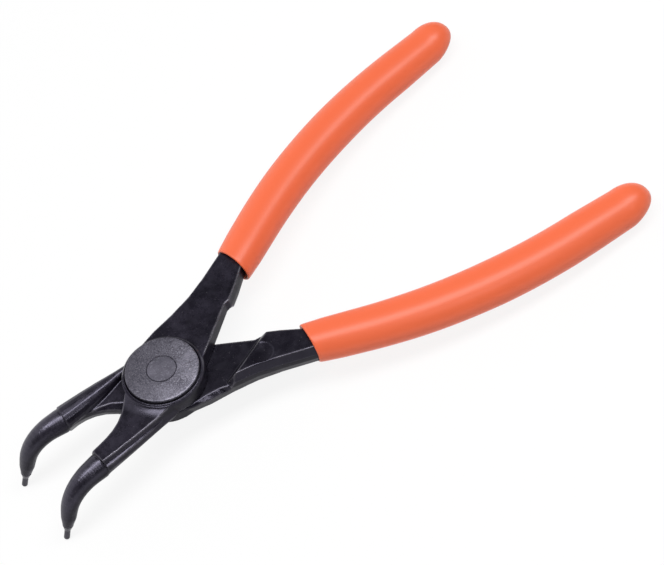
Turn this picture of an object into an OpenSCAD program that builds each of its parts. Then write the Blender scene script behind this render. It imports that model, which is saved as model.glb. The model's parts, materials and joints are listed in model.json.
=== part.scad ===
// Circlip pliers for internal retaining rings, with both noses bent downwards.
// Two forged levers cross in a half lap. A bolt with a round disc holds the joint together,
// a coiled spring hidden in the joint opens it, pressed-in tips end the noses, and dipped
// grips cover the handles. Millimetres, +Z up.
// Tool frame: origin where the pivot axis meets the lap plane, +X towards the handles,
// +Y towards the upper lever's handle, +Z towards the joint disc. on_table() then tips the
// whole tool so that both grips and both tips rest on Z = 0.

/* [Joint] */
// Radius of the round disc on the joint, and of the bolt's head below
disc_r = 10; // [8.5:0.25:11]
// Thickness of the disc and of the bolt's head
disc_h = 1.9; // [1.4:0.1:2.6]
// Depth of the round seat that the disc, or the head, sits in
disc_sink = 0.5; // [0.3:0.1:0.7]
// Radius of the pivot bolt's shank
bolt_r = 4; // [3.4:0.1:4.4]
// Thickness of each lever where the two lap
plate_h = 4; // [3.6:0.1:5]
// Width of the round boss that stands around the disc
boss_rim = 1.25; // [1.1:0.05:2]
// Height of the boss's lip around the disc, above the lever's flats
boss_lip = 0.45; // [0.3:0.05:0.6]
// Distance from the pivot to the crotch between the tip arms
crotch_front = 13; // [12.6:0.1:15]
// Distance from the pivot to the crotch between the handles
crotch_back = 16.6; // [15:0.1:19]

/* [Tip arms and noses] */
// Thickness of a tip arm
arm_t = 6.7; // [6:0.1:7.4]
// Distance from the pivot to the seam where the nose begins
nose_x = 27.5; // [25:0.5:34]
// Distance from the middle line to the nose at its seam
nose_y = 9.2; // [8.8:0.1:10.5]
// Radius of the nose at its seam
nose_r = 3.5; // [3:0.1:3.9]
// Radius of the nose before its end taper
nose_end_r = 2.05; // [1.8:0.05:2.6]
// Angle that the noses spread outwards
nose_splay = 5.2; // [3:0.2:8]
// Drop of the nose's axis below the lap plane
nose_drop = 0.7; // [0:0.1:0.9]
// Straight length before the bend
nose_lead = 3; // [1:0.1:6]
// Radius of the bend, to the nose's axis
bend_r = 10.7; // [8:0.1:14]
// Angle of the bend
bend_a = 66.5; // [45:0.5:90]
// Straight length after the bend
nose_tail = 2.9; // [1:0.1:6]
// Length of the taper at the nose's end
nose_taper = 3; // [1:0.1:4]

/* [Tips] */
// Radius of the tip that enters the ring's hole
tip_r = 0.8; // [0.7:0.05:1]
// Length of the straight part of the tip
tip_len = 3.7; // [2.5:0.1:5]
// Length of the root between the nose and the straight part
tip_root = 1.2; // [0.8:0.1:2]
// Radius of the shank pressed into the nose
tip_shank_r = 1.15; // [1:0.05:1.3]
// Length of the pressed-in shank
tip_shank = 5; // [3:0.5:7]

/* [Handles] */
// Thickness of the handle forging
handle_t = 6.2; // [5.6:0.1:7]
// Width of the handle forging at the grip's mouth
tang_w = 8.8; // [8:0.1:9.4]
// Distance from the pivot to the grip's mouth
mouth_x = 35; // [33:0.5:40]
// Distance from the middle line to the handle at the grip's mouth
mouth_y = 17.8; // [17:0.1:20]
// Angle of the handle to the middle line at the grip's mouth
flare_a = 25.6; // [22:0.2:28]
// Straight length from the mouth to the handle's bow, along X
lead_x = 13; // [8:0.5:20]
// Radius of the handle's bow
bow_r = 175; // [150:1:200]
// Angle of the handle to the middle line at its end
end_a = 5.2; // [2:0.2:8]
// Distance from the pivot to the end of the steel
steel_x = 129; // [120:1:140]

/* [Grips] */
// Width of the grip where it is widest
grip_w = 13.4; // [12.6:0.1:15]
// Thickness of the grip where it is thickest
grip_t = 11; // [10:0.1:13]
// Wall of the grip beyond the end of the steel
grip_end = 3.6; // [2.5:0.1:6]
// Height of the drip left at the grip's end
drip_h = 0.4; // [0.2:0.1:1]
// Angle of the grip's mouth to the cross direction
mouth_a = 10; // [4:1:16]

/* [Spring] */
// Radius of the hidden spring's coil, to the wire's middle
coil_r = 6.6; // [6.2:0.1:7]
// Radius of the spring's wire
wire_r = 0.5; // [0.35:0.05:0.6]
// Turns of the spring
coil_turns = 2.25; // [1.25:1:2.25]

/* [Fits] */
// Gap between the levers' lapped faces
lap_gap = 0.1; // [0.06:0.02:0.2]
// Radial play of the bolt in the upper lever
bolt_play = 0.04; // [0.02:0.01:0.08]
// Play under the disc
disc_play = 0.05; // [0.03:0.01:0.1]
// Gap around the disc in its seat
seat_gap = 0.3; // [0.2:0.05:0.5]
// Gap around a boss in the other lever's recess
recess_gap = 0.35; // [0.3:0.05:0.6]
// Gap left between pieces that are fixed to each other
fit_gap = 0.02; // [0.01:0.01:0.04]
// Room around the spring in its pocket
coil_room = 0.5; // [0.35:0.05:0.7]

/* [Hidden] */
$fn = 96;

steel_black = [0.16, 0.15, 0.18];
steel_grey = [0.45, 0.44, 0.49];
grip_orange = [0.96, 0.46, 0.32];

boss_r = disc_r + boss_rim;
seat_z = plate_h - disc_sink;
lap_z = lap_gap / 2;
boss_bevel = boss_rim * 0.25;
boss_draft = boss_rim * 0.05;
boss_top_r = disc_r + seat_gap + boss_rim * 0.2;
disc_bevel = disc_h / 6;

// forged edges: how far the flats lie inside the widest line, and half the flash band
flat_in = handle_t * 0.1;
face_in = handle_t * 0.08;
crotch_in = handle_t * 0.17;
recess_in = handle_t * 0.2;
flash = handle_t * 0.13;

// spring and its pocket
coil_pitch = 2 * wire_r + wire_r * 0.3;
coil_rise = coil_pitch * coil_turns;
pocket_d = coil_rise / 2 + wire_r + wire_r * 0.3;
leg_d = (seat_z - pocket_d) * 0.55;
leg_a = 180 * coil_turns;

// handle's middle line: straight, then an arc, then straight
bow_x0 = mouth_x + lead_x;
bow_x1 = bow_x0 + bow_r * (sin(flare_a) - sin(end_a));
bow_y0 = mouth_y + lead_x * tan(flare_a);
bow_y1 = bow_y0 + bow_r * (cos(end_a) - cos(flare_a));
grip_x = steel_x + grip_end;

function mid_slope(x) =
    x < bow_x0 ? flare_a :
    x > bow_x1 ? end_a :
    asin(sin(flare_a) - (x - bow_x0) / bow_r);
function mid_y(x) =
    x < bow_x0 ? mouth_y + (x - mouth_x) * tan(flare_a) :
    x > bow_x1 ? bow_y1 + (x - bow_x1) * tan(end_a) :
    bow_y0 + bow_r * (cos(mid_slope(x)) - cos(flare_a));
function cut_a(x) = mouth_a + (end_a - mouth_a) * (x - mouth_x) / (grip_x - mouth_x);
function across(x) = [-sin(cut_a(x)), cos(cut_a(x))];
function mix(a, b, t) = a + (b - a) * t;

// half width of the steel along its section plane
function tang_half(x) =
    tang_w / 2 / cos(mid_slope(x) - cut_a(x)) *
    lookup((x - mouth_x) / (steel_x - mouth_x), [[0, 1], [0.5, 0.95], [0.9, 0.84], [1, 0.6]]);
// half width and half thickness of the grip as shares of their largest values
function grip_share(x) =
    lookup((x - mouth_x) / (grip_x - mouth_x),
           [[0, 0.875], [0.06, 0.93], [0.25, 0.975], [0.5, 1], [0.78, 0.975], [0.93, 0.91], [1, 0.88]]);

// outer and inner plan points of the handle's section at x
edge_x0 = -boss_r * 0.13;
step_x = mouth_x * 0.74;
function out_edge(x) =
    let (t = (x - edge_x0) / (mouth_x - edge_x0), end = mouth_pt(1))
    mix(boss_r * 0.99, end.y, t) - tang_w * t * (1 - t) * (0.72 - 4.2 * pow(t - 0.55, 2));
function in_edge(x) =
    let (end = mouth_pt(-1), t = (x - crotch_back) / (end.x - crotch_back))
    max(-boss_r * 0.7, end.y * t + tang_w * (x < step_x ? 0.16 * max(0, t) * (1 - t) : -0.06));
function mouth_pt(side) = [mouth_x, mouth_y] + side * tang_half(mouth_x) * across(mouth_x);
function plan_pt(x, side) =
    x < mouth_x - tang_w * 0.6 ? [x, side > 0 ? out_edge(x) : in_edge(x)] :
    x < mouth_x ? mix([x, side > 0 ? out_edge(x) : in_edge(x)], mouth_pt(side),
                      1 - (mouth_x - x) / (tang_w * 0.6)) :
    [x, mid_y(x)] + side * tang_half(x) * across(x);

// flat outside face: level with the boss at the joint, thinner along the handle
function out_z(x) =
    lookup(x, [[crotch_back * 0.85, plate_h - flash / 4], [mouth_x * 0.8, handle_t / 2]]);

// forged section, 24 points, grown by a gap: flat faces, drafted sides, a flash band
function handle_ring(x, grow) =
    let (o0 = plan_pt(x, 1), i0 = plan_pt(x, -1), d = (o0 - i0) / norm(o0 - i0),
         o = o0 + d * grow, i = i0 - d * grow,
         zt = out_z(x) + grow, zb = -handle_t / 2 - grow,
         a = i + d * face_in, b = o - d * flat_in,
         c = o - d * recess_in, e = i + d * crotch_in,
         r = [[a.x, a.y, zt], [b.x, b.y, zt], [o.x, o.y, flash], [o.x, o.y, -flash],
              [c.x, c.y, zb], [e.x, e.y, zb], [i.x, i.y, -flash], [i.x, i.y, flash]])
    [for (k = [0:7], s = [0:2]) mix(r[k], r[(k + 1) % 8], s / 3)];

tang_x = [for (k = [0:13]) mix(mouth_x, steel_x, k == 0 ? 0 : k == 1 ? 0.03 : (k - 1) / 12)];
shank_x = concat([for (t = [0, 0.25, 0.5, 0.75, 0.97]) mix(edge_x0, step_x, t)],
                 [for (t = [0.08, 0.5]) mix(step_x, mouth_x, t)]);

// tip arm, lying at -Y: widest line, crotch line and the barrel's inner foot at distance u
arm_u0 = boss_r / 4;
lip = nose_r * 0.05;
function arm_out(u) =
    let (t = (u - arm_u0) / (nose_x - arm_u0))
    mix(boss_r - 2 * lip, nose_y + nose_r + lip, t) + nose_r * 0.15 * t * (1 - t);
function crotch_t(u) = max(0, u - crotch_front) / (nose_x - crotch_front);
function arm_in(u, s) =
    let (end = nose_y - nose_r - lip, t = crotch_t(u))
    min(0, u - crotch_front) + end * (1 - pow(1 - t, 3.5)) +
        nose_r * (s > 0 ? -0.5 * t * pow(1 - t, 3) : 1.15 * t * (1 - t) * t);
// width of the large chamfer on the lapped face, along the crotch
function arm_chamfer(u) = arm_t * max(0.005, 0.39 * (1 - crotch_t(u) / 0.45));
function arm_foot(u) =
    let (u0 = boss_r * 0.825, end = nose_y - nose_r - lip / 2,
         t = max(0, (u - u0) / (nose_x - u0)))
    mix(boss_r * 0.753, end, 1 - pow(1 - t, 2.2));
// the arm's middle follows the drop of its nose, so the barrel is deeper on the upper lever
function arm_deep(u, s) =
    arm_t / 2 * lookup(u / nose_x, s > 0 ? [[0.35, 0.35], [0.55, 0.6], [0.75, 0.85], [1, 1.1]] :
                                           [[0.35, 0.5], [0.55, 0.75], [0.75, 0.88], [1, 0.87]]);
// sections lean with the nose's splay towards the seam, and end a lip's width before it
function arm_pt(u, y, z) = [-u - (y + nose_y) * tan(nose_splay) * pow(u / nose_x, 6), y, z];
function arm_ring(u, s) =
    let (lo = -arm_out(u), hi = -arm_in(u, s), foot = -arm_foot(u),
         face = arm_t / 2 + (s < 0 ? nose_drop : 0),
         zt = mix(plate_h - flash / 2, face, min(1, u / (nose_x * 0.55))),
         t = min(1, max(0, (u - arm_u0) / (nose_x - arm_u0))),
         w = 1 - pow(crotch_t(u), s > 0 ? 2 : 1.2),
         side = arm_t * mix(0.1, 0.22, t), ledge = mix(lap_z, zt, 0.53),
         step = mix(0.75, 0.15, min(1, max(0, 4 * t - 0.5))),
         deep = arm_deep(u, s), m = (lo + foot) / 2, h = (foot - lo) / 2)
    concat(
        [arm_pt(u, hi - arm_t * mix(0.22, 0.035, w), zt), arm_pt(u, lo + side, zt),
         arm_pt(u, lo + side * 0.75, ledge), arm_pt(u, lo + side * step, ledge - flash * 0.1),
         arm_pt(u, lo, lap_z)],
        [for (k = [1:7]) arm_pt(u, m - h * cos(k * 22.5), lap_z - deep * sin(k * 22.5))],
        [arm_pt(u, foot, lap_z), arm_pt(u, hi - arm_chamfer(u), lap_z),
         arm_pt(u, hi, lap_z + arm_t * mix(0.01, 0.21, w)),
         arm_pt(u, hi, lap_z + arm_t * mix(0.06, 0.42, w))]);
arm_us = [for (t = [0, 0.15, 0.28, 0.4, 0.5, 0.6, 0.7, 0.8, 0.9, 1]) mix(arm_u0, nose_x - lip, t)];

// nose: its axis in the bend's own plane, u along the plan direction and w downwards
bend_len = bend_r * bend_a * PI / 180;
nose_len = nose_lead + bend_len + nose_tail;
function nose_q(d) = min(bend_a, max(0, (d - nose_lead) / bend_r * 180 / PI));
function nose_uw(d) =
    let (q = nose_q(d), e = max(0, d - nose_lead - bend_len))
    d < nose_lead ? [d, 0] :
    [nose_lead + bend_r * sin(q) + e * cos(q), bend_r * (1 - cos(q)) + e * sin(q)];
nose_dir = [-cos(nose_splay), -sin(nose_splay), 0];
nose_side = [sin(nose_splay), -cos(nose_splay), 0];
up = [0, 0, 1];
function nose_at(d, s) =
    let (p = nose_uw(d)) [-nose_x, -nose_y, -s * nose_drop] + p[0] * nose_dir - s * p[1] * up;
function nose_up(d, s) = s * sin(nose_q(d)) * nose_dir + cos(nose_q(d)) * up;
function round_ring(c, side, top, r, n) =
    [for (k = [0:n - 1]) c + r * (cos(360 * k / n) * side - sin(360 * k / n) * top)];
function nose_ring(d, r, s) = round_ring(nose_at(d, s), nose_side, nose_up(d, s), r, 24);
nose_steps = 14;
tip_at = nose_len + nose_taper;
tip_end = tip_at + tip_root + tip_len;

// table: tips and grips both reach Z = 0 once the tool is tipped by table_a
function grip_x_at(t) = mix(mouth_x, grip_x, t);
round_t = 0.91;
function grip_scale(t) =
    t < round_t ? 1 : sqrt(max(0, 1 - pow((t - round_t) / (1 - round_t), 2)));
grip_ts = concat([0, 0.012], [for (k = [1:15]) k * round_t / 15],
                 [for (k = [1:5]) round_t + (1 - round_t) * sin(k * 15)]);
tip_low = nose_at(tip_end, 1) - [0, 0, tip_r * 0.5 * cos(bend_a)];
function grip_under(t) = -grip_t / 2 * grip_share(grip_x_at(t)) * grip_scale(t);
table_a = min([for (t = grip_ts)
    atan((grip_under(t) - tip_low.z) / (grip_x_at(t) - tip_low.x))]);
function tipped_x(p) = p.x * cos(table_a) + p.z * sin(table_a);
lift = tip_low.x * sin(table_a) - tip_low.z * cos(table_a);
slide = -(tipped_x([grip_x + drip_h, 0, 0]) + tipped_x(tip_low) - tip_r) / 2;

module on_table() {
    translate([slide, 0, lift])
        rotate([0, table_a, 0])
            children();
}

// closed skin through rings of equal point count, rings in order along the path
module loft(rings) {
    n = len(rings[0]);
    m = len(rings);
    first = [for (c = [0:2]) mean([for (p = rings[0]) p[c]])];
    last = [for (c = [0:2]) mean([for (p = rings[m - 1]) p[c]])];
    polyhedron(
        points = concat([for (r = rings) each r], [first, last]),
        faces = concat(
            skin_faces(0, n, m),
            [for (k = [0:n - 1]) [m * n, (k + 1) % n, k]],
            [for (k = [0:n - 1]) [m * n + 1, (m - 1) * n + k, (m - 1) * n + (k + 1) % n]]));
}
function mean(v) = v * [for (a = v) 1] / len(v);
function skin_faces(at, n, m) =
    [for (j = [0:m - 2], k = [0:n - 1])
        let (a = at + j * n + k, b = at + j * n + (k + 1) % n)
        each [[a, b, b + n], [a, b + n, a + n]]];

// sleeve with a closed end: outer rings, then the rings of its cavity, same point count
module sleeve(outer, inner) {
    n = len(outer[0]);
    m = len(outer);
    q = len(inner);
    tip = [for (c = [0:2]) mean([for (p = outer[m - 1]) p[c]])];
    floor_pt = [for (c = [0:2]) mean([for (p = inner[q - 1]) p[c]])];
    at = m * n;
    polyhedron(
        points = concat([for (r = outer) each r], [for (r = inner) each r], [tip, floor_pt]),
        faces = concat(
            skin_faces(0, n, m),
            [for (f = skin_faces(at, n, q)) [f[0], f[2], f[1]]],
            [for (k = [0:n - 1]) [at + q * n, (m - 1) * n + k, (m - 1) * n + (k + 1) % n]],
            [for (k = [0:n - 1])
                [at + q * n + 1, at + (q - 1) * n + (k + 1) % n, at + (q - 1) * n + k]],
            [for (k = [0:n - 1])
                each [[k, at + k, at + (k + 1) % n], [k, at + (k + 1) % n, (k + 1) % n]]]));
}

// plan of what is cut from a lever's lapped half: the boss's circle, up to the shoulder's foot
shoulder_x0 = crotch_back * 0.69;
shoulder_x1 = mouth_x * 0.738;
shoulder_out = [shoulder_x0, out_edge(shoulder_x0) - tang_w * 0.19];
shoulder_in = [shoulder_x1, in_edge(shoulder_x1) + tang_w * 0.05];
shoulder_way = (shoulder_out - shoulder_in) / norm(shoulder_out - shoulder_in);
shoulder_turn = [sin(20), cos(20)];
shoulder_start = shoulder_in - shoulder_way * tang_w * 0.3;
module recess_plan() {
    far = 3 * boss_r;
    circle(r = boss_r + recess_gap);
    polygon([[0, -far], [shoulder_start.x, -far], shoulder_start, shoulder_out,
             shoulder_out + shoulder_turn * far, [0, far]]);
}

// the shoulder's face leans away from the pivot: wedges along its foot, joined into one cut
lean_z = handle_t * 0.7;
lean_w = lean_z * 0.63;
function lean_ring(p, n) =
    [[p.x - n.x * flash / 10, p.y - n.y * flash / 10, lap_z - fit_gap],
     [p.x - n.x * flash, p.y - n.y * flash, -lean_z],
     [p.x + n.x * lean_w, p.y + n.y * lean_w, -lean_z]];
module shoulder_face() {
    a = [shoulder_way.y, -shoulder_way.x];
    b = [shoulder_turn.y, -shoulder_turn.x];
    loft([lean_ring(shoulder_start - shoulder_way * flash, a),
          lean_ring(shoulder_out, (a + b) / (1 + a * b)),
          lean_ring(shoulder_out + shoulder_turn * tang_w * 0.6, b)]);
}

// chamfer along the outer edge of the lapped face, from the boss to the shoulder
chamfer_d = plate_h * 0.25;
function chamfer_w(x) =
    tang_w * lookup(x / shoulder_x0, [[-0.1, 0.06], [0.4, 0.17], [0.75, 0.15], [1, 0.07]]);
function chamfer_ring(x) =
    let (y = out_edge(x), w = chamfer_w(x), z = lap_z - chamfer_d / 5)
    [[x, y - w * 1.2, z], [x, y + w, lap_z + 2 * chamfer_d], [x, y + w, z]];
module lap_chamfer() {
    loft([for (t = [0, 0.25, 0.5, 0.75, 1]) chamfer_ring(mix(edge_x0, shoulder_x0, t))]);
}

// one forged lever in the tool frame, lapping above Z = 0; s = 1 bends its nose down, -1 up
module lever(s, bore_gap) {
    dimple_r = tang_w * 0.36;
    dimple_d = flash * 0.25;
    dimple_s = (dimple_r * dimple_r + dimple_d * dimple_d) / (2 * dimple_d);
    dimple_x = (shoulder_x0 + shoulder_x1) / 2 + tang_w * 0.52;
    dimple_y = (out_edge(dimple_x) + mix(shoulder_in.y, shoulder_out.y, 0.4)) / 2 - recess_in / 2;
    difference() {
        union() {
            loft(concat([for (x = shank_x) handle_ring(x, 0)], [for (x = tang_x) handle_ring(x, 0)]));
            loft([for (u = arm_us) arm_ring(u, s)]);
            loft(concat([nose_ring(-nose_r, nose_r * 0.3, s)],
                        [for (k = [0:nose_steps])
                            let (t = k / nose_steps)
                            nose_ring(nose_len * t, mix(nose_r, nose_end_r, t), s)],
                        [nose_ring(tip_at, tip_shank_r * 1.2, s)]));
            translate([0, 0, lap_z])
                cylinder(r1 = boss_r, r2 = boss_r - boss_draft, h = plate_h - lap_z - boss_bevel);
            translate([0, 0, plate_h - boss_bevel])
                cylinder(r1 = boss_r - boss_rim * 0.2, r2 = boss_top_r, h = boss_bevel + boss_lip);
        }
        translate([0, 0, lap_z - 3 * handle_t])
            linear_extrude(height = 3 * handle_t)
                recess_plan();
        shoulder_face();
        lap_chamfer();
        translate([0, 0, -plate_h])
            cylinder(r = bolt_r + bore_gap, h = 3 * plate_h);
        translate([0, 0, seat_z])
            cylinder(r = disc_r + seat_gap, h = plate_h);
        translate([0, 0, -plate_h])
            difference() {
                cylinder(r = coil_r + wire_r + coil_room, h = plate_h + pocket_d);
                translate([0, 0, -plate_h])
                    cylinder(r = coil_r - wire_r - coil_room, h = 4 * plate_h);
            }
        rotate([0, 0, leg_a])
            translate([coil_r, 0, 0])
                cylinder(r = wire_r + fit_gap, h = pocket_d + leg_d + fit_gap, $fn = 32);
        translate([dimple_x, dimple_y, -handle_t / 2 - dimple_s + dimple_d])
            sphere(r = dimple_s);
        along_tip(s)
            translate([0, 0, -tip_shank - fit_gap])
                cylinder(r = tip_shank_r + fit_gap, h = 2 * tip_shank, $fn = 48);
    }
}

// moves a shape drawn along +Z to the nose's end, pointing out of it
module along_tip(s) {
    e = nose_at(tip_at, s);
    translate(e)
        rotate([0, 0, nose_splay])
            rotate([0, s > 0 ? -90 - bend_a : bend_a - 90, 0])
                children();
}

module tip(s) {
    tip_round = tip_r * 0.45;
    along_tip(s)
        rotate_extrude($fn = 48)
            polygon([[0, -tip_shank], [tip_shank_r * 0.8, -tip_shank],
                     [tip_shank_r, -tip_shank + tip_shank_r * 0.3], [tip_shank_r, 0],
                     [tip_r * 1.02, tip_root * 0.6], [tip_r, tip_root],
                     [tip_r, tip_root + tip_len - tip_round],
                     [tip_r * 0.86, tip_root + tip_len - tip_round * 0.4],
                     [tip_r * 0.5, tip_root + tip_len], [0, tip_root + tip_len]]);
}

// dipped grip: an oval sleeve on the handle's middle line, with a rounded end and a drip
module grip() {
    n = 24;
    outer = concat(
        [for (t = grip_ts)
            let (x = grip_x_at(t), f = grip_share(x) * grip_scale(t),
                 w = grip_w / 2 * f / cos(mid_slope(x) - cut_a(x)), h = grip_t / 2 * f)
            grip_ring(x, w, h, n)],
        [grip_ring(grip_x - drip_h * 0.05, drip_h * 1.5, drip_h * 1.5, n),
         grip_ring(grip_x + drip_h, drip_h * 0.7, drip_h * 0.7, n)]);
    inner = concat([handle_ring(tang_x[0], grip_w * 0.035)],
                   [for (k = [1:len(tang_x) - 1]) handle_ring(tang_x[k], fit_gap)],
                   [handle_ring(steel_x + fit_gap, fit_gap)]);
    sleeve(outer, inner);
}
// starts at the same corner of the section as handle_ring does
function grip_ring(x, w, h, n) =
    let (d = across(x))
    [for (k = [0:n - 1])
        let (q = 120 - 360 * k / n, a = w * cos(q) - grip_lean(x))
        [x + a * d.x, mid_y(x) + a * d.y, h * sin(q)]];
function grip_lean(x) = grip_w * lookup((x - mouth_x) / (grip_x - mouth_x), [[0, 0.018], [0.3, 0]]);

module lower_half() {
    rotate([180, 0, 0])
        children();
}

module upper_lever() {
    color(steel_black)
        on_table()
            lever(1, bolt_play);
}

module lower_lever() {
    color(steel_black)
        on_table()
            lower_half()
                lever(-1, fit_gap);
}

module upper_tip() {
    color(steel_black)
        on_table()
            tip(1);
}

module lower_tip() {
    color(steel_black)
        on_table()
            lower_half()
                tip(-1);
}

module upper_grip() {
    color(grip_orange)
        on_table()
            grip();
}

module lower_grip() {
    color(grip_orange)
        on_table()
            lower_half()
                grip();
}

// round head below, shank through both levers, end flush with the disc
module pivot_bolt() {
    color(steel_grey)
        on_table()
            rotate_extrude()
                polygon([[0, -seat_z - disc_h], [disc_r - disc_bevel, -seat_z - disc_h],
                         [disc_r, -seat_z - disc_h + disc_bevel], [disc_r, -seat_z], [bolt_r, -seat_z],
                         [bolt_r, seat_z + disc_play + disc_h - disc_bevel / 2],
                         [bolt_r - disc_bevel / 2, seat_z + disc_play + disc_h],
                         [0, seat_z + disc_play + disc_h]]);
}

module joint_disc() {
    z0 = seat_z + disc_play;
    color(steel_grey)
        on_table()
            rotate_extrude()
                polygon([[bolt_r + fit_gap, z0], [disc_r, z0], [disc_r, z0 + disc_h - disc_bevel],
                         [disc_r - disc_bevel, z0 + disc_h], [bolt_r + fit_gap, z0 + disc_h]]);
}

// coiled spring in the pocket between the levers, one bent leg in each of them
module return_spring() {
    steps = 24 * coil_turns;
    rings = [for (k = [0:steps])
        let (a = leg_a * (2 * k / steps - 1))
        round_ring([coil_r * cos(a), coil_r * sin(a), coil_rise * (k / steps - 0.5)],
                   [-cos(a), -sin(a), 0], up, wire_r, 10)];
    leg_h = pocket_d - coil_rise / 2 + leg_d;
    color(steel_grey)
        on_table() {
            loft(rings);
            rotate([0, 0, leg_a])
                translate([coil_r, 0, coil_rise / 2])
                    cylinder(r = wire_r, h = leg_h, $fn = 32);
            rotate([0, 0, -leg_a])
                translate([coil_r, 0, -coil_rise / 2 - leg_h])
                    cylinder(r = wire_r, h = leg_h, $fn = 32);
        }
}

lower_lever();
upper_lever();
pivot_bolt();
joint_disc();
return_spring();
lower_grip();
upper_grip();
lower_tip();
upper_tip();
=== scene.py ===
# %% [markdown]
# # Circlip pliers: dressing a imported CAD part
#
# The CAD part fixes where every piece sits and how the levers turn. This lesson gives those
# pieces the look of the real tool: forged levers with softened edges, a blasted joint disc,
# and dipped grips with a rolled mouth and a drip at the end.
#
# The steps are: load the part, find the tool's own axes, make the materials, build the levers,
# the grips, the disc and the bolt, then set the floor, the light and the camera.

import json
import math

import bmesh
import bpy
import numpy as np
from mathutils import Matrix, Vector


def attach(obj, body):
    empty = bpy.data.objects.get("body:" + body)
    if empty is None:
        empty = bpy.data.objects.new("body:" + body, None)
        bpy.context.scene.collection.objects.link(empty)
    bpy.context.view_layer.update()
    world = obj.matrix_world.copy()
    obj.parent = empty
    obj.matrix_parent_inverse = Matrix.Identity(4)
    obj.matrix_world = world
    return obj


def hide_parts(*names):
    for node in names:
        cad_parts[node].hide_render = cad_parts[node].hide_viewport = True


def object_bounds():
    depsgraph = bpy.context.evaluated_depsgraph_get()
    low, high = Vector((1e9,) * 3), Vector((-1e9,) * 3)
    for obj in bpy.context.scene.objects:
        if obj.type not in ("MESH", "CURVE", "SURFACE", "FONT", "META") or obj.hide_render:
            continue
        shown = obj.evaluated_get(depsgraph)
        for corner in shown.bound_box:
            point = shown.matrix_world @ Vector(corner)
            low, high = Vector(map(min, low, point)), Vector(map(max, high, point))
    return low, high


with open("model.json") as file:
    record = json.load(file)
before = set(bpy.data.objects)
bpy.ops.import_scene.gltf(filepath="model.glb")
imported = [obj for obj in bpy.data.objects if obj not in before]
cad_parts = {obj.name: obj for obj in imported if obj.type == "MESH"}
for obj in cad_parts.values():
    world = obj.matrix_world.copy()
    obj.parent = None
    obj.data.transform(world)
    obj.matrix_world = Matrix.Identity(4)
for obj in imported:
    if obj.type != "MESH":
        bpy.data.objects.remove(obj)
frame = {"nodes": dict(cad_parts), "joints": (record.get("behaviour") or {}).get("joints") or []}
cad_low, cad_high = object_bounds()
nodes = frame["nodes"]
print("CAD pieces:", ", ".join(sorted(nodes)))

# %% [markdown]
# ## The tool's own axes
#
# The tool lies tipped on the table, so its sizes are awkward in the part's frame. The hinge
# gives a better one: its origin is on the pivot, +X runs to the handles, +Y to the upper
# lever's handle and +Z along the pivot. `TOOL` carries millimetres in that frame to metres in
# the part's frame. The lower half is the upper half turned over about X, so both halves are
# built with the same numbers.

# %% Frames
hinge = frame["joints"][0]
pivot = Vector(hinge["pos_m"])
pivot_axis = Vector(hinge["axis"])
tip_angle = math.atan2(pivot_axis.x, pivot_axis.z)
TOOL_METRES = Matrix.Translation(pivot) @ Matrix.Rotation(tip_angle, 4, "Y")
TOOL = TOOL_METRES @ Matrix.Scale(0.001, 4)
TURNED_OVER = Matrix.Rotation(math.pi, 4, "X")
HALVES = {"upper": (TOOL, "upper_half"), "lower": (TOOL @ TURNED_OVER, "lower_half")}
print("the tool is tipped by", round(math.degrees(tip_angle), 2), "degrees")

# %% [markdown]
# A finished piece is a mesh that already has its place in the part's frame, on an object that
# stays at the origin. `new_object` gives it a material, hangs it on the CAD body that carries
# it, and hides the CAD solid that it stands for.


# %% From a mesh to a piece
def new_object(name, mesh, material, body, slot, *stands_for):
    """Puts a finished mesh in the scene as a piece that rides on a CAD body."""
    obj = bpy.data.objects.new(name, mesh)
    bpy.context.scene.collection.objects.link(obj)
    mesh.materials.clear()
    mesh.materials.append(material)
    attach(obj, body)
    if stands_for:
        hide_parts(*stands_for)
    print(name, "has", len(mesh.polygons), "faces")
    return obj


def smooth_faces(mesh):
    mesh.polygons.foreach_set("use_smooth", [True] * len(mesh.polygons))
    mesh.update()


# %% [markdown]
# ## Materials
#
# Every material is made of procedural nodes on Object coordinates, so that no picture file is
# needed and a pattern stays with its piece when the levers turn. `Shader` is a small helper
# that adds nodes and joins them, so each material below reads from its coordinates to its
# surface. A value that is a socket is linked, and any other is written on the socket itself.


# %% Nodes and links
def feed(tree, socket, value):
    if isinstance(value, bpy.types.NodeSocket):
        tree.links.new(value, socket)
    else:
        socket.default_value = value


def add_node(tree, kind, inputs=None, **settings):
    made = tree.nodes.new(kind)
    for key, value in settings.items():
        setattr(made, key, value)
    for key, value in (inputs or {}).items():
        feed(tree, made.inputs[key], value)
    return made


def add_math(tree, operation, a, b=0.0):
    return add_node(tree, "ShaderNodeMath", {0: a, 1: b}, operation=operation).outputs[0]


def add_span(tree, value, low, high, to_low=0.0, to_high=1.0):
    ends = {"From Min": low, "From Max": high, "To Min": to_low, "To Max": to_high}
    return add_node(tree, "ShaderNodeMapRange", {"Value": value, **ends}).outputs["Result"]


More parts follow.
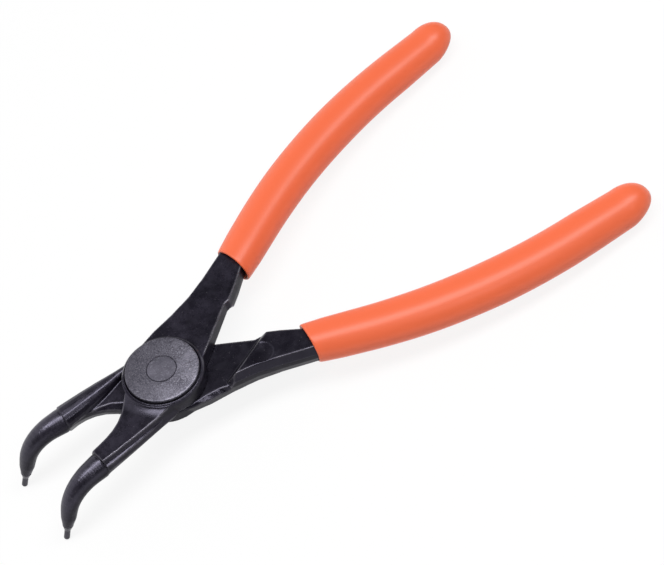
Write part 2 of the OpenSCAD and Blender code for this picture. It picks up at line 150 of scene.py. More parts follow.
# %% Material helper
class Shader:
    def __init__(self, name):
        self.material = bpy.data.materials.new(name)
        self.material.use_nodes = True
        self.tree = self.material.node_tree
        self.surface = self.tree.nodes["Principled BSDF"]
        self.place = self.node("ShaderNodeTexCoord").outputs["Object"]
        print("material:", name)

    def node(self, kind, inputs=None, **settings):
        return add_node(self.tree, kind, inputs, **settings)

    def noise(self, scale, detail=2.0, rough=0.5):
        look = {"Vector": self.place, "Scale": scale, "Detail": detail, "Roughness": rough}
        return self.node("ShaderNodeTexNoise", look).outputs["Fac"]

    def math(self, operation, a, b=0.0):
        return add_math(self.tree, operation, a, b)

    def times(self, a, b):
        return self.math("MULTIPLY", a, b)

    def plus(self, a, b):
        return self.math("ADD", a, b)

    def span(self, value, low, high, to_low=0.0, to_high=1.0):
        return add_span(self.tree, value, low, high, to_low, to_high)

    def blend(self, share, a, b):
        return self.node("ShaderNodeMix", {0: share, 6: a, 7: b}, data_type="RGBA").outputs[2]

    def attribute(self, name):
        return self.node("ShaderNodeAttribute", attribute_name=name).outputs["Fac"]

    def bump(self, height, strength, distance):
        look = {"Height": height, "Strength": strength, "Distance": distance}
        return self.node("ShaderNodeBump", look).outputs["Normal"]

    def set(self, **sockets):
        for key, value in sockets.items():
            name = key.replace("_", " ").title().replace("Ior", "IOR")
            feed(self.tree, self.surface.inputs[name], value)
        return self.material


# %% [markdown]
# The levers are phosphated black: a satin skin that is mottled in soft patches a few
# millimetres across, over a fine grain left by blasting the forging. Plain black would look
# like plastic, so the material asks where on the lever each point is. The lever builder
# further down writes the answers as attributes:
#
# - `edge` is positive on ridges, which are painted a pale metallic grey as a painted highlight
#   along the edges, and negative in corners, which are painted nearly black as painted shade.
# - `run` is the distance along a nose in millimetres. It carries the fine rings that turning
#   leaves there.
# - `wall` is 1 on faces that stand upright, which keep the forging's dull skin and shine less.
# - `arm_light_and_dark_handle` is high on the arms, whose black is painted lighter as painted
#   light, most of all on the upper lever, and low towards the lower lever's joint and handle,
#   which are painted darker.

# %% Black forged steel
DARK_BLACK_TONE, PALE_BLACK_TONE = (0.0026, 0.0020, 0.0048, 1), (0.0170, 0.0147, 0.0236, 1)
DUST, EDGE_HIGHLIGHT_GREY = (0.16, 0.155, 0.17, 1), (0.22, 0.21, 0.24, 1)
PAINTED_CORNER_SHADE = (0.003, 0.0027, 0.004, 1)
VIOLET_SHEEN = (0.81, 0.77, 1.0, 1)
GRAIN_DEPTH = 0.00006


def make_black_steel():
    s = Shader("black forged steel")
    patches = s.span(s.noise(130.0, 4.0, 0.6), 0.38, 0.64)
    grain = s.noise(2600.0, 2.0, 0.6)
    shade = s.times(patches, s.span(grain, 0.36, 0.64, 0.35, 1.35))
    # Painted light: the mottled black is painted lighter on the arms and darker towards the
    # lower lever's joint and handle.
    tint = s.blend(s.times(shade, s.attribute("arm_light_and_dark_handle")), DARK_BLACK_TONE, PALE_BLACK_TONE)
    tint = s.blend(s.span(s.noise(2100.0, 1.0), 0.71, 0.8, 0.0, 0.35), tint, DUST)

    # Painted highlight on ridges, a pale metallic grey laid on unevenly, and painted shade in
    # corners, nearly black.
    edge = s.attribute("edge")
    uneven_highlight = s.span(s.noise(240.0, 3.0), 0.35, 0.65, 0.5, 1.0)
    ridge_highlight = s.times(s.span(edge, 0.15, 0.9), uneven_highlight)
    corner = s.span(edge, -0.15, -0.8)
    tint = s.blend(s.times(ridge_highlight, 0.8), tint, EDGE_HIGHLIGHT_GREY)
    tint = s.blend(s.times(corner, 0.8), tint, PAINTED_CORNER_SHADE)

    run = s.attribute("run")
    ring_height = s.span(run, 5.0, 11.0, 0.22, 0.06)
    rings = s.times(s.math("SINE", s.times(run, 10.0)), ring_height)
    rings = s.plus(rings, s.times(s.noise(1500.0, 2.0, 0.6), 0.8))
    height = s.plus(s.times(patches, 0.35), s.times(grain, 0.4))
    height = s.plus(height, s.times(rings, s.span(run, 0.2, 0.6)))

    wall = s.span(s.attribute("wall"), 0.3, 0.9)
    nose_dull = s.span(run, 0.0, 0.5, 0.0, 0.06)
    nose_shine = s.times(s.span(run, 0.0, 0.5, 0.0, 0.25), s.math("SUBTRACT", 1.0, wall))
    rough = s.span(s.noise(420.0, 3.0), 0.3, 0.7, 0.22, 0.34)
    return s.set(
        base_color=tint,
        roughness=s.plus(rough, s.plus(s.times(wall, 0.12), nose_dull)),
        metallic=s.times(ridge_highlight, 0.9),
        IOR=1.6,
        specular_IOR_level=s.plus(s.span(wall, 0.0, 1.0, 0.5, 0.16), nose_shine),
        specular_tint=VIOLET_SHEEN,
        normal=s.bump(height, 0.35, GRAIN_DEPTH),
    )


black_steel = make_black_steel()

# %% [markdown]
# The disc and the bolt's end are bare grey steel with a blasted grain: small pits that vary
# both the colour and the height. The disc is painted darker on one side, a painted shade that
# makes it look lit from the other side. A lamp could do that too, but then it would move when
# the disc is seen from elsewhere. The bolt's end is the smoother of the two, and has only a
# little of that painted shade.

# %% Blasted grey steel
# The way towards the disc's painted lit side, and how softly its painted shade fades.
LIT_SIDE_WAY = (0.79, -0.61, 0)
PAINTED_SHADE_REACH = 0.009
PALE_SPECKS, PAINTED_SHADE_GREY = (0.58, 0.56, 0.65, 1), (0.05, 0.047, 0.062, 1)


def make_grey_steel(name, pits, dark, pale, shaded_side_share):
    s = Shader(name)
    # Painted shade: the disc is blended towards a dark grey on the side away from its lit side.
    across = {0: s.place, 1: LIT_SIDE_WAY}
    side = s.node("ShaderNodeVectorMath", across, operation="DOT_PRODUCT").outputs["Value"]
    middle = pivot.x * LIT_SIDE_WAY[0]
    side = s.span(side, middle - PAINTED_SHADE_REACH, middle + PAINTED_SHADE_REACH, shaded_side_share, 0.0)
    grain = s.noise(2700.0, 2.0, 0.65)
    specks = s.span(s.noise(2300.0, 1.0), 0.58, 0.76, 0.0, pits)
    shade = s.plus(s.times(grain, pits), s.times(s.noise(220.0, 3.0), 1 - pits))
    tint = s.blend(s.span(shade, 0.4, 0.6), dark, pale)
    tint = s.blend(specks, tint, PALE_SPECKS)
    tint = s.blend(side, tint, PAINTED_SHADE_GREY)
    return s.set(
        base_color=tint,
        roughness=s.span(grain, 0.3, 0.7, 0.38, 0.5),
        metallic=0.92,
        normal=s.bump(grain, 0.9 * pits, GRAIN_DEPTH),
    )


DISC_DARK, DISC_PALE = (0.125, 0.12, 0.152, 1), (0.32, 0.308, 0.375, 1)
BOLT_DARK, BOLT_PALE = (0.14, 0.135, 0.17, 1), (0.22, 0.21, 0.26, 1)
disc_steel = make_grey_steel("blasted disc", 0.65, DISC_DARK, DISC_PALE, 0.62)
bolt_steel = make_grey_steel("bolt end", 0.3, BOLT_DARK, BOLT_PALE, 0.1)

# %% [markdown]
# The grips are soft plastic, made by dipping the handles. The skin is even in colour, and its
# shine is broken by long shallow waves and a fine grain. Both are bump, because they are far
# too small to model. The tips and the spring are hard drawn steel, dark and plain.


# %% Dipped plastic, and dark steel for the tips
def make_grip_plastic():
    s = Shader("orange dipped plastic")
    waves = s.plus(s.noise(70.0, 1.0), s.times(s.noise(1500.0, 2.0), 0.12))
    tint = s.blend(s.noise(45.0, 2.0), (0.86, 0.155, 0.064, 1), (0.90, 0.165, 0.070, 1))
    return s.set(base_color=tint, roughness=0.34, IOR=1.4, normal=s.bump(waves, 0.1, 0.0002))


def make_dark_steel():
    s = Shader("dark hard steel")
    tint = s.blend(s.noise(900.0, 2.0), (0.042, 0.040, 0.050, 1), (0.08, 0.077, 0.094, 1))
    return s.set(base_color=tint, roughness=0.4, metallic=0.6)


grip_plastic = make_grip_plastic()
dark_steel = make_dark_steel()

# %% [markdown]
# ## Forged levers
#
# A forging has no sharp edges. A bevel on a CAD mesh of thousands of small facets would tear,
# so each lever starts as a merged copy of its CAD solid, cut where the grip hides it. A voxel
# remesh turns the bare part into one even skin, and a few rounds of smoothing soften every
# edge by a few tenths of a millimetre while the shape stays that of the solid. The part inside
# the grip stays as it was.

# %% Lever skin
VOXEL, SOFTENING_ROUNDS = 0.204, 3
HIDDEN_X = 41.0
MERGE_METRES = 2e-6


def cut_copy(node, into_tool, keep_front):
    """A merged copy of a CAD solid in tool millimetres, kept on one side of the hidden cut."""
    bm = bmesh.new()
    bm.from_mesh(nodes[node].data)
    bmesh.ops.remove_doubles(bm, verts=bm.verts, dist=MERGE_METRES)
    bmesh.ops.transform(bm, matrix=into_tool, verts=bm.verts)
    bmesh.ops.bisect_plane(
        bm,
        geom=bm.verts[:] + bm.edges[:] + bm.faces[:],
        plane_co=(HIDDEN_X, 0, 0),
        plane_no=(1, 0, 0),
        clear_outer=keep_front,
        clear_inner=not keep_front,
    )
    bmesh.ops.holes_fill(bm, edges=[e for e in bm.edges if e.is_boundary], sides=0)
    mesh = bpy.data.meshes.new(node + ("_front" if keep_front else "_back"))
    bm.to_mesh(mesh)
    bm.free()
    return mesh


def even_skin(rough):
    """One even, softened skin over a closed mesh."""
    helper = bpy.data.objects.new("rough", rough)
    bpy.context.scene.collection.objects.link(helper)
    voxels = helper.modifiers.new("even skin", "REMESH")
    voxels.mode = "VOXEL"
    voxels.voxel_size = VOXEL
    graph = bpy.context.evaluated_depsgraph_get()
    skin = bpy.data.meshes.new_from_object(helper.evaluated_get(graph))
    bpy.data.objects.remove(helper)
    bpy.data.meshes.remove(rough)
    bm = bmesh.new()
    bm.from_mesh(skin)
    for _ in range(SOFTENING_ROUNDS):
        bmesh.ops.smooth_vert(
            bm, verts=bm.verts, factor=0.5, use_axis_x=True, use_axis_y=True, use_axis_z=True
        )
    bm.to_mesh(skin)
    bm.free()
    return skin


# %% Points and normals as arrays
def read_points(mesh, what):
    flat = np.zeros(len(mesh.vertices) * 3)
    mesh.vertices.foreach_get(what, flat)
    return flat.reshape(-1, 3)


def write_points(mesh, name, values):
    layer = mesh.attributes.new(name, "FLOAT", "POINT")
    layer.data.foreach_set("value", values.astype(np.float32))


# %% [markdown]
# Three small forms are pressed into the skin by moving its points. The seam where the turned
# nose meets the forged arm is a narrow groove across the nose. The forging's die left a round
# dimple on the handle, and its rim is made crisp here, because the smoothing has washed it
# out. On top of the upper lever the arm doesn't meet the disc's collar at a step: the forging
# runs up to it in a soft slope, and the points of the arm's flat face are lifted onto that
# slope. Sizes are in millimetres in the lever's own frame.

# %% Groove, dimple and slope
NOSE_SEAM = np.array([-27.5, -9.2, 0.0])
SPLAY = math.radians(5.2)
NOSE_WAY = np.array([-math.cos(SPLAY), -math.sin(SPLAY), 0.0])
NOSE_SIDE_Y = -4.0
GROOVE_AT, GROOVE_W, GROOVE_DEPTH = 0.05, 0.16, 0.16
DIMPLE, DIMPLE_R, DIMPLE_RIM, DIMPLE_DEPTH = (23.3, 12.8), 3.3, 0.3, 0.09
SLOPE_R, COLLAR_R, COLLAR_WALL_R = 14.2, 10.8, 10.75
SLOPE_RISE, SLOPE_TOP, SLOPE_CURVE = 1.05, 4.4, 1.8
SLOPE_WAY, SLOPE_TURN = (-0.75, -0.66), (0.15, 0.65)
FLAT_Z, FACES_UP, FACES_DOWN = 2.5, 0.5, -0.8


def from_dimple(co):
    return np.hypot(co[:, 0] - DIMPLE[0], co[:, 1] - DIMPLE[1])


def cut_groove(co, normals, along):
    groove = np.exp(-(((along - GROOVE_AT) / GROOVE_W) ** 2)) * (co[:, 1] < NOSE_SIDE_Y)
    return co - normals * (GROOVE_DEPTH * groove)[:, None]


def sink_dimple(co, normals):
    flat = (co[:, 2] < -FLAT_Z) & (normals[:, 2] < FACES_DOWN)
    share = np.clip((DIMPLE_R - from_dimple(co)) / DIMPLE_RIM, 0, 1)
    co[:, 2] += np.where(flat, DIMPLE_DEPTH * share, 0)


def raise_slope(co, normals):
    r = np.hypot(co[:, 0], co[:, 1])
    ahead = (SLOPE_WAY[0] * co[:, 0] + SLOPE_WAY[1] * co[:, 1]) / np.maximum(r, 1)
    facing = np.interp(ahead, SLOPE_TURN, (0, 1))
    share = np.clip((SLOPE_R - r) / (SLOPE_R - COLLAR_R), 0, 1)
    rise = SLOPE_RISE * share**SLOPE_CURVE * facing
    lift = np.minimum(rise, np.maximum(SLOPE_TOP - co[:, 2], 0))
    flat = (r > COLLAR_WALL_R) & (normals[:, 2] > FACES_UP) & (co[:, 2] > FLAT_Z)
    co[:, 2] += np.where(flat, lift, 0)


# %% [markdown]
# Then the numbers that the black material asks for are worked out. For `edge`, a copy of the
# points is evened out until ridges and corners have melted away: a point that stands above
# that copy is on a ridge, and one below it is in a corner. Ridges next to the disc, at the
# dimple and at the seam get less of the painted highlight. For `run`, the point's place is read
# along the nose's middle line, which is straight, then an arc, then straight again.
# `arm_light_and_dark_handle` changes along the lever, painted lighter on the arms and darker
# towards the joint and handle, and `wall` comes from the way each point faces.

# %% What the material needs to know about each point
NOSE_DROP, NOSE_LEAD = 0.7, 3.0
BEND_R, BEND_A = 10.7, math.radians(66.5)
BEND_LONG, BEND_DEEP = BEND_R * math.sin(BEND_A), BEND_R * (1 - math.cos(BEND_A))
MELTING_ROUNDS, FULL_EDGE = 10, 0.097
# Where the painted ridge highlight fades out: next to the disc, at the dimple and at the seam.
DISC_HIGHLIGHT_FADE, DIMPLE_HIGHLIGHT_FADE, DIMPLE_HIGHLIGHT_SHARE = (11.3, 12.6), (3.9, 4.6), 0.35
SEAM_HIGHLIGHT_FADE, SEAM_HIGHLIGHT_CUT = 0.8, 0.6
# Painted light along each lever: where its black is painted lighter or darker, by x.
ARM_LIGHT_AND_DARK_HANDLE = {"upper": ((-16, -10), (2.0, 1.15)), "lower": ((-14, -4), (1.0, 0.3))}


def edge_of(skin, co, normals):
    pairs = np.zeros(len(skin.edges) * 2, dtype=np.int32)
    skin.edges.foreach_get("vertices", pairs)
    a, b = pairs.reshape(-1, 2).T
    n = len(co)
    neighbours = (np.bincount(a, minlength=n) + np.bincount(b, minlength=n))[:, None]
    melted = co.copy()
    for _ in range(MELTING_ROUNDS):
        sums = [
            np.bincount(a, melted[b, i], n) + np.bincount(b, melted[a, i], n) for i in range(3)
        ]
        melted = (melted + np.stack(sums, 1) / neighbours) / 2
    return ((co - melted) * normals).sum(1) / FULL_EDGE


# How much of the painted ridge highlight a point gets: less next to the disc, at the dimple and
# at the seam.
def ridge_highlight_share_of(co, along):
    highlight_share = np.interp(np.hypot(co[:, 0], co[:, 1]), DISC_HIGHLIGHT_FADE, (0, 1))
    highlight_share *= np.interp(from_dimple(co), DIMPLE_HIGHLIGHT_FADE, (DIMPLE_HIGHLIGHT_SHARE, 1))
    seam = np.exp(-((along / SEAM_HIGHLIGHT_FADE) ** 2)) * (co[:, 1] < NOSE_SIDE_Y)
    return highlight_share * (1 - SEAM_HIGHLIGHT_CUT * seam)


def run_of(co, side):
    u = (co - NOSE_SEAM) @ NOSE_WAY - NOSE_LEAD
    w = (-co[:, 2] if side == "upper" else co[:, 2]) - NOSE_DROP
    turn = np.clip(np.arctan2(u, BEND_R - w), 0, BEND_A)
    past = (u - BEND_LONG) * math.cos(BEND_A) + (w - BEND_DEEP) * math.sin(BEND_A)
    run = NOSE_LEAD + np.minimum(u, 0) + BEND_R * turn
    run += np.where(turn < BEND_A, 0, np.maximum(past, 0))
    return np.where(co[:, 1] < NOSE_SIDE_Y, run, -1.0)


# %% [markdown]
# Each nose is drawn out to a short cone where its tip comes out. The cone is added after the
# skin, because it is too slim for the voxels. The nose's end is found by looking for the skin's
# furthest point along the tip.

# %% Cone at a tip's root
CONE_L, CONE_R, CONE_TIP_R, CONE_SUNK = 1.8, 1.45, 0.83, 0.1
NOSE_ROOM = 3.0


def add_root_cone(bm, co, side):
    down = np.array((0, 0, -1 if side == "upper" else 1))
    bend_end = NOSE_SEAM + NOSE_WAY * (NOSE_LEAD + BEND_LONG) + down * (NOSE_DROP + BEND_DEEP)
    way = NOSE_WAY * math.cos(BEND_A) + down * math.sin(BEND_A)
    past = (co - bend_end) @ way
    off = np.linalg.norm(co - bend_end - past[:, None] * way, axis=1)
    end = past[off < NOSE_ROOM].max()
    middle = Matrix.Translation(Vector(bend_end + way * (end + CONE_L / 2 - CONE_SUNK)))
    cone = bmesh.ops.create_cone(
        bm,
        cap_ends=True,
        segments=32,
        radius1=CONE_R,
        radius2=CONE_TIP_R,
        depth=CONE_L,
        matrix=middle @ Vector(way).to_track_quat("Z", "Y").to_matrix().to_4x4(),
    )
    for face in {face for vert in cone["verts"] for face in vert.link_faces}:
        face.smooth = len(face.verts) == 4
    print(side, "nose ends", round(float(end), 2), "mm past its bend")


# %% [markdown]
# Now the steps come together. Both levers are built by one function, because the lower one is
# the same forging turned over. Only the upper one shows its collar from above, so only that
# one gets the slope.


# %% Build both levers
def build_lever(side):
    matrix, body = HALVES[side]
    node = side + "_lever"
    skin = even_skin(cut_copy(node, matrix.inverted(), True))
    co, normals = read_points(skin, "co"), read_points(skin, "normal")
    along = (co - NOSE_SEAM) @ NOSE_WAY
    co = cut_groove(co, normals, along)
    sink_dimple(co, normals)
    if side == "upper":
        raise_slope(co, normals)
    skin.vertices.foreach_set("co", co.ravel())
    smooth_faces(skin)

    normals = read_points(skin, "normal")
    edge, run = edge_of(skin, co, normals), run_of(co, side)
    # Painted light and shade along the lever, read from x.
    arm_light_and_dark_handle = np.interp(co[:, 0], *ARM_LIGHT_AND_DARK_HANDLE[side])
    write_points(skin, "edge", np.where(edge > 0, edge * ridge_highlight_share_of(co, along), edge))
    write_points(skin, "run", run)
    write_points(skin, "arm_light_and_dark_handle", np.where(run > 0, 1.0, arm_light_and_dark_handle))
    write_points(skin, "wall", 1 - np.abs(normals[:, 2]))

    bm = bmesh.new()
    bm.from_mesh(skin)
    bm.from_mesh(cut_copy(node, matrix.inverted(), False))
    add_root_cone(bm, co, side)
    bm.to_mesh(skin)
    bm.free()
    skin.transform(matrix)
    skin.name = node + "_skin"
    return new_object(node + "_skin", skin, black_steel, body, "black_steel", node)


build_lever("upper")
build_lever("lower")

# %% [markdown]
# ## Dipped grips
#
# The handle's middle line is straight, then an arc, then straight again, as in the CAD. The
# grip is a tube of oval sections along it. A curve with a bevel could make a tube too, but the
# sections here change their width along the way, lean at the mouth and stay square to the cut
# of the mouth, so each one is worked out as a ring of points.

# %% Handle's middle line
MOUTH_X, MOUTH_Y = 35.0, 17.8
FLARE, END = math.radians(25.6), math.radians(5.2)
BOW_R, LEAD_X = 175.0, 13.0
GRIP_X = 132.6
GRIP_L = GRIP_X - MOUTH_X
MOUTH_CUT = math.radians(10.0)
BOW_X0 = MOUTH_X + LEAD_X
BOW_X1 = BOW_X0 + BOW_R * (math.sin(FLARE) - math.sin(END))
BOW_Y0 = MOUTH_Y + LEAD_X * math.tan(FLARE)
BOW_Y1 = BOW_Y0 + BOW_R * (math.cos(END) - math.cos(FLARE))
print("the handle's bow runs from x", round(BOW_X0, 1), "to", round(BOW_X1, 1), "mm")


def slope_at(x):
    if x < BOW_X0:
        return FLARE
    if x > BOW_X1:
        return END
    return math.asin(math.sin(FLARE) - (x - BOW_X0) / BOW_R)


def middle_at(x):
    if x < BOW_X0:
        return MOUTH_Y + (x - MOUTH_X) * math.tan(FLARE)
    if x > BOW_X1:
        return BOW_Y1 + (x - BOW_X1) * math.tan(END)
    return BOW_Y0 + BOW_R * (math.cos(slope_at(x)) - math.cos(FLARE))


# %% Sections across the handle
RING_POINTS = 72


def mix(a, b, t):
    return a + (b - a) * t


def section(x, half_w, half_t, lean=0.0, square=2.0):
    """One oval ring across the handle at x, as points in tool millimetres."""
    cut = mix(MOUTH_CUT, END, (x - MOUTH_X) / GRIP_L)
    half_w = half_w / math.cos(slope_at(x) - cut)
    ring = []
    for k in range(RING_POINTS):
        q = 2 * math.pi * k / RING_POINTS
        c, s = math.cos(q), math.sin(q)
        a = half_w * math.copysign(abs(c) ** (2 / square), c) - lean
        b = half_t * math.copysign(abs(s) ** (2 / square), s)
        ring.append((x - a * math.sin(cut), middle_at(x) + a * math.cos(cut), b))
    return ring


# %% [markdown]
# The tube starts as a circle that is extruded ring by ring, and each new ring is laid on its
# section. A number on every point says which place on the ring it has, and extruding copies
# that number along.


# %% Tube through rings
def loft(rings, name):
    """A closed tube through rings of equal point count, with both ends filled."""
    bm = bmesh.new()
    number = bm.verts.layers.int.new("number")
    bmesh.ops.create_circle(bm, segments=len(rings[0]), radius=1.0)
    for k, vert in enumerate(bm.verts):
        vert[number] = k
        vert.co = rings[0][k]
    edges = bm.edges[:]
    for ring in rings[1:]:
        grown = bmesh.ops.extrude_edge_only(bm, edges=edges)["geom"]
        for vert in (e for e in grown if isinstance(e, bmesh.types.BMVert)):
            vert.co = ring[vert[number]]
        edges = [e for e in grown if isinstance(e, bmesh.types.BMEdge) and e.is_boundary]
    bmesh.ops.holes_fill(bm, edges=[e for e in bm.edges if e.is_boundary], sides=0)
    bmesh.ops.recalc_face_normals(bm, faces=bm.faces)
    bm.verts.layers.int.remove(number)
    mesh = bpy.data.meshes.new(name)
    bm.to_mesh(mesh)
    bm.free()
    return mesh


# %% [markdown]
# From the inside out, a grip's rings are: the mouth, which rolls inwards onto the steel, the
# long body, whose width follows `SHARES`, the rounded end, which curls up a little because the
# tool dries hanging, and the small drip that dipping leaves.

# %% Grip's rings
GRIP_W, GRIP_T = 13.3, 11.0
STEEL_HALF_W, STEEL_HALF_T = 4.4, 3.1
SHARES = (
    (0, 0.875),
    (0.06, 0.93),
    (0.25, 0.975),
    (0.5, 1),
    (0.78, 0.975),
    (0.93, 0.91),
    (1, 0.88),
)
MOUTH_ROLL, MOUTH_LEAN, LEAN_ENDS = 0.45, 0.018, 0.3
MOUTH_INSIDE = ((4.0, 0.02), (1.2, 0.15), (0.35, 0.42))
BODY_FROM, ROUND_FROM, BODY_RINGS, ROUND_RINGS = 0.012, 0.91, 60, 18
ROUND_STEP_DEGREES, END_LIFT = 4.7, 0.9
DRIP = ((0.05, 0.45), (0.3, 0.3), (0.4, 0.12))


def grip_ring(t, shrink=1.0):
    """The grip's ring at a share t of its length, made smaller by shrink."""
    share = float(np.interp(t, *zip(*SHARES))) * shrink
    lean = GRIP_W * float(np.interp(t, (0, LEAN_ENDS), (MOUTH_LEAN, 0)))
    return section(MOUTH_X + GRIP_L * t, GRIP_W / 2 * share, GRIP_T / 2 * share, lean)


def mouth_rings():
    rings = []
    for depth, grow in MOUTH_INSIDE:
        inside = (STEEL_HALF_W + grow, STEEL_HALF_T + grow)
        rings.append(section(MOUTH_X + depth, *inside, square=4.0))
    for turn in (0.0, 0.35, 0.7, 1.0):
        q = turn * math.pi / 2
        back, inwards = MOUTH_ROLL * (1 - math.cos(q)), MOUTH_ROLL * (1 - math.sin(q))
        w, t = (size / 2 * SHARES[0][1] - inwards for size in (GRIP_W, GRIP_T))
        rings.append(section(MOUTH_X + back, w, t, GRIP_W * MOUTH_LEAN))
    return rings


def end_rings(up):
    rings = []
    for k in range(1, ROUND_RINGS + 1):
        q = math.radians(k * ROUND_STEP_DEGREES)
        lift = up * END_LIFT * math.sin(2 * q)
        ring = grip_ring(mix(ROUND_FROM, 1, math.sin(q)), math.cos(q))
        rings.append([(a, b, c + lift) for a, b, c in ring])
    for out, r in DRIP:
        rings.append(section(GRIP_X + out, r, r))
    return rings


# %% Build both grips
def build_grip(side):
    matrix, body = HALVES[side]
    steps = [mix(BODY_FROM, ROUND_FROM, k / BODY_RINGS) for k in range(BODY_RINGS + 1)]
    rings = mouth_rings() + [grip_ring(t) for t in steps]
    rings += end_rings(1 if side == "upper" else -1)
    name = side + "_grip_skin"
    mesh = loft(rings, name)
    mesh.transform(matrix)
    smooth_faces(mesh)
    return new_object(name, mesh, grip_plastic, body, "dipped_plastic", side + "_grip")


build_grip("upper")
build_grip("lower")

# %% [markdown]
# ## Joint disc and bolt
#
# Both are turned parts, so each is a profile spun about the pivot, as on a lathe. A cylinder
# with a bevel would round all its edges alike, but a profile gives each edge its own form. The
# edges where the bolt's end meets the disc are broken, and the two breaks together show as the
# fine ring on the disc's face. The face is very slightly domed, so it catches more light on
# one side.

# %% Turned parts
MERGE_MM, SHARP_ANGLE = 1e-4, 0.5


def spin(profile, name, sides=144):
    """Spins a line of (radius, height) points about the pivot into a closed skin."""
    bm = bmesh.new()
    line = [bm.verts.new((r, 0, z)) for r, z in profile]
    for a, b in zip(line, line[1:]):
        bm.edges.new((a, b))
    bmesh.ops.spin(
        bm,
        geom=bm.verts[:] + bm.edges[:],
        cent=(0, 0, 0),
        axis=(0, 0, 1),
        angle=2 * math.pi,
        steps=sides,
        use_merge=True,
    )
    bmesh.ops.remove_doubles(bm, verts=bm.verts, dist=MERGE_MM)
    bmesh.ops.recalc_face_normals(bm, faces=bm.faces)
    for edge in bm.edges:
        edge.smooth = edge.calc_face_angle(0.0) < SHARP_ANGLE
    mesh = bpy.data.meshes.new(name)
    bm.to_mesh(mesh)
    bm.free()
    smooth_faces(mesh)
    return mesh


def rounded(corner_r, corner_z, r, z_sign, steps=5):
    """Quarter circle on an outer rim; z_sign is +1 for a top rim and -1 for a bottom one."""
    out = []
    for k in range(steps + 1):
        q = math.pi / 2 * k / steps
        out.append((corner_r - r + r * math.cos(q), corner_z - z_sign * (r - r * math.sin(q))))
    return out


# %% Build the disc and the bolt
DISC_R, BOLT_R, RIM_R = 10.0, 4.0, 0.32
SEAT_Z, DISC_H, PLAY = 3.5, 1.9, 0.05
TOP_Z = SEAT_Z + PLAY + DISC_H
DOME, DOME_STEPS, BOLT_DOME = 0.25, 8, 0.01
BORE_GAP, BREAK_W, BREAK_DEPTH = 0.02, 0.2, 0.3
DISC_BREAK = ((0.06, 0.12), (BORE_GAP, BREAK_DEPTH))
BOLT_BREAK = ((0.04, 0.12), (0.16, 0.0))


def dome_at(r):
    return TOP_Z - DOME * (r / DISC_R) ** 2


def build_disc():
    low = SEAT_Z + PLAY
    profile = [(BOLT_R + BORE_GAP, low), (DISC_R, low)]
    profile += rounded(DISC_R, TOP_Z - DOME, RIM_R, 1)
    for k in range(1, DOME_STEPS + 1):
        r = mix(DISC_R - RIM_R, BOLT_R + BREAK_W, k / DOME_STEPS)
        profile.append((r, dome_at(r)))
    rim = profile[-1][1]
    profile += [(BOLT_R + out, rim - down) for out, down in DISC_BREAK]
    profile.append(profile[0])
    mesh = spin(profile, "joint_disc_skin")
    mesh.transform(TOOL)
    return new_object(
        "joint_disc_skin", mesh, disc_steel, "lower_half", "grey_steel", "joint_disc"
    )


def build_bolt():
    low = -SEAT_Z - DISC_H
    profile = [(0, low)]
    profile += rounded(DISC_R, low, RIM_R, -1)[::-1]
    profile += [(DISC_R, -SEAT_Z), (BOLT_R, -SEAT_Z), (BOLT_R, TOP_Z - BREAK_DEPTH)]
    rim = dome_at(BOLT_R)
    profile += [(BOLT_R - back, rim - down) for back, down in BOLT_BREAK]
    profile += [(BOLT_R / 2, TOP_Z - BOLT_DOME), (0, TOP_Z)]
    mesh = spin(profile, "pivot_bolt_skin")
    mesh.transform(TOOL)
    return new_object(
        "pivot_bolt_skin", mesh, bolt_steel, "lower_half", "grey_steel", "pivot_bolt"
    )


build_disc()
build_bolt()

# %% [markdown]
# The tips and the hidden spring are plain turned and drawn steel, so their CAD meshes stay
# and only take a new material.

# %% Plain CAD pieces
for name in ("upper_tip", "lower_tip", "return_spring"):
    nodes[name].data.materials.clear()
    nodes[name].data.materials.append(dark_steel)
    print(name, "keeps its CAD mesh")

# %% [markdown]
# ## Floor, light and camera
#
# The photograph is a product shot on white. The floor is pale and keeps a faint shadow. To the
# camera, and in reflections, most of its brightness is a plain white, so that the lights can
# stay at a level at which colours look as they were written. The Light Path node tells those
# rays from the rest.

# %% Floor
PLAIN_WHITE_SHARE = 0.88
FLOOR_HALF, FLOOR_BELOW = 3.0, 0.0001


def seen_rays(tree):
    ray = add_node(tree, "ShaderNodeLightPath").outputs
    seen = add_math(tree, "MAXIMUM", ray["Is Camera Ray"], ray["Is Glossy Ray"])
    return add_math(tree, "MAXIMUM", seen, ray["Is Transmission Ray"])


def make_floor():
    s = Shader("pale floor")
    s.set(base_color=(0.93, 0.93, 0.93, 1), roughness=0.9, specular_IOR_level=0.1)
    white = s.node("ShaderNodeEmission", {"Color": (1, 1, 1, 1), "Strength": 1.0})
    share = s.times(seen_rays(s.tree), PLAIN_WHITE_SHARE)
    both = {0: share, 1: s.surface.outputs[0], 2: white.outputs[0]}
    both = s.node("ShaderNodeMixShader", both).outputs[0]
    feed(s.tree, s.tree.nodes["Material Output"].inputs["Surface"], both)
    mesh = bpy.data.meshes.new("floor")
    bm = bmesh.new()
    bmesh.ops.create_grid(bm, x_segments=1, y_segments=1, size=FLOOR_HALF)
    bm.to_mesh(mesh)
    bm.free()
    mesh.materials.append(s.material)
    obj = bpy.data.objects.new("floor", mesh)
    bpy.context.scene.collection.objects.link(obj)
    obj.location.z = cad_low.z - FLOOR_BELOW
    print("the floor lies at", round(obj.location.z * 1000, 2), "mm")


make_floor()

# %% [markdown]
# The tool stands in a light tent. Black steel shows little but what it mirrors, so the
# surroundings are shaped here as well as the lamps. A long light overhead draws the soft line
# along each grip and nose, and the thin lines on the levers' edges. A small one in front picks
# out the chamfers. The world is pale behind the tool and to its left, and dark elsewhere, so
# that the grips are brighter on one side and the flat faces, which mirror the dark part, stay
# black. Low all around stands a white backdrop that only the camera and mirrored rays meet, so
# that it lights nothing.


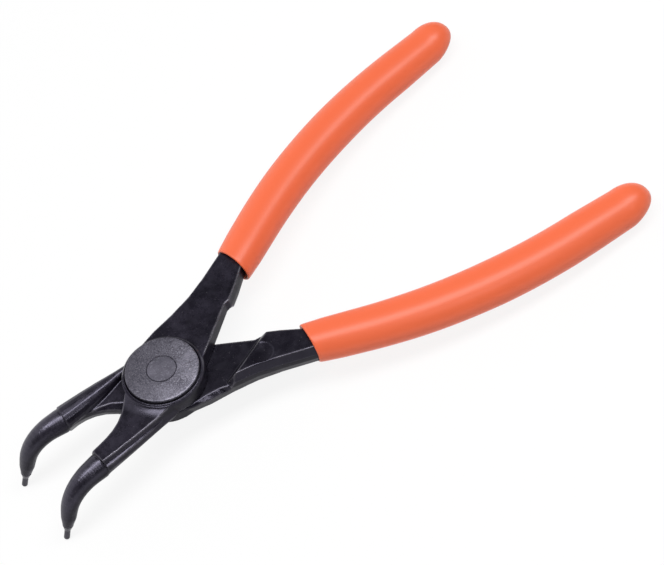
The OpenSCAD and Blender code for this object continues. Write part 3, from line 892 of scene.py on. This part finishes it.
# %% Lights
def soft_light(name, place, aim, size, power):
    data = bpy.data.lights.new(name, "AREA")
    data.shape = "RECTANGLE"
    data.size, data.size_y = size
    data.energy = power
    obj = bpy.data.objects.new(name, data)
    bpy.context.scene.collection.objects.link(obj)
    obj.location = place
    way = Vector(aim) - Vector(place)
    obj.rotation_euler = way.to_track_quat("-Z", "Y").to_euler()
    print(name, "of", power, "W")
    return obj


soft_light("overhead light", (0.12, -0.03, 1.0), (0, 0, 0), (0.36, 1.3), 11)
soft_light("front light", (0.12, -0.6, 0.82), (0, 0, 0), (0.14, 0.14), 0.6)

# %% World
PALE_SIDE = (-0.6, 0.78, -0.18)
DARK_LEVEL, PALE_LEVEL, TENT_EDGE = 0.08, 0.75, (0.2, 0.55)
BACKDROP_TOP = (0.15, 0.2)


def make_world():
    world = bpy.data.worlds.new("studio")
    bpy.context.scene.world = world
    world.use_nodes = True
    tree = world.node_tree
    way = add_node(tree, "ShaderNodeTexCoord").outputs["Generated"]
    towards = {0: way, 1: PALE_SIDE}
    towards = add_node(tree, "ShaderNodeVectorMath", towards, operation="DOT_PRODUCT")
    tent = add_span(tree, towards.outputs["Value"], *TENT_EDGE, DARK_LEVEL, PALE_LEVEL)
    height = add_node(tree, "ShaderNodeSeparateXYZ", {0: way}).outputs["Z"]
    low = add_span(tree, height, *BACKDROP_TOP, 1.0, 0.0)
    backdrop = add_math(tree, "MULTIPLY", seen_rays(tree), low)
    sky = tree.nodes["Background"]
    sky.inputs["Color"].default_value = (1, 1, 1, 1)
    feed(tree, sky.inputs["Strength"], add_math(tree, "MAXIMUM", tent, backdrop))
    print("the tent's levels are", DARK_LEVEL, "and", PALE_LEVEL)


make_world()

# %% [markdown]
# The camera was fitted to the photograph: the grips' outlines, the disc and the crotches of
# the levers fixed its place, its direction and its focal length in the tool's frame. The two
# shifts of half a pixel centre the picture as the photograph is centred.

# %% Camera
CAMERA_AT = Vector((-78.449, -277.228, 405.858))
LOOK = Vector((0.2573892, 0.5365219, -0.8036760))
RIGHT = Vector((0.7818443, -0.6043881, -0.1530831))
DOWN = Vector((-0.5678646, -0.5889476, -0.5750396))
FOCAL_PIXELS, PICTURE_WIDTH = 1870.169, 664
SENSOR_WIDTH = 36.0

camera_data = bpy.data.cameras.new("camera")
camera_data.sensor_width = SENSOR_WIDTH
camera_data.lens = FOCAL_PIXELS / PICTURE_WIDTH * SENSOR_WIDTH
camera_data.shift_x = -0.5 / PICTURE_WIDTH
camera_data.shift_y = 0.5 / PICTURE_WIDTH
camera_data.clip_start, camera_data.clip_end = 0.01, 20.0
camera = bpy.data.objects.new("camera", camera_data)
bpy.context.scene.collection.objects.link(camera)
axes = Matrix((RIGHT, -DOWN, -LOOK)).transposed().to_4x4()
camera.matrix_world = TOOL_METRES @ Matrix.Translation(CAMERA_AT * 0.001) @ axes
bpy.context.scene.camera = camera
bpy.context.scene.view_settings.view_transform = "Standard"
print("the camera's lens is", round(camera_data.lens, 1), "mm")
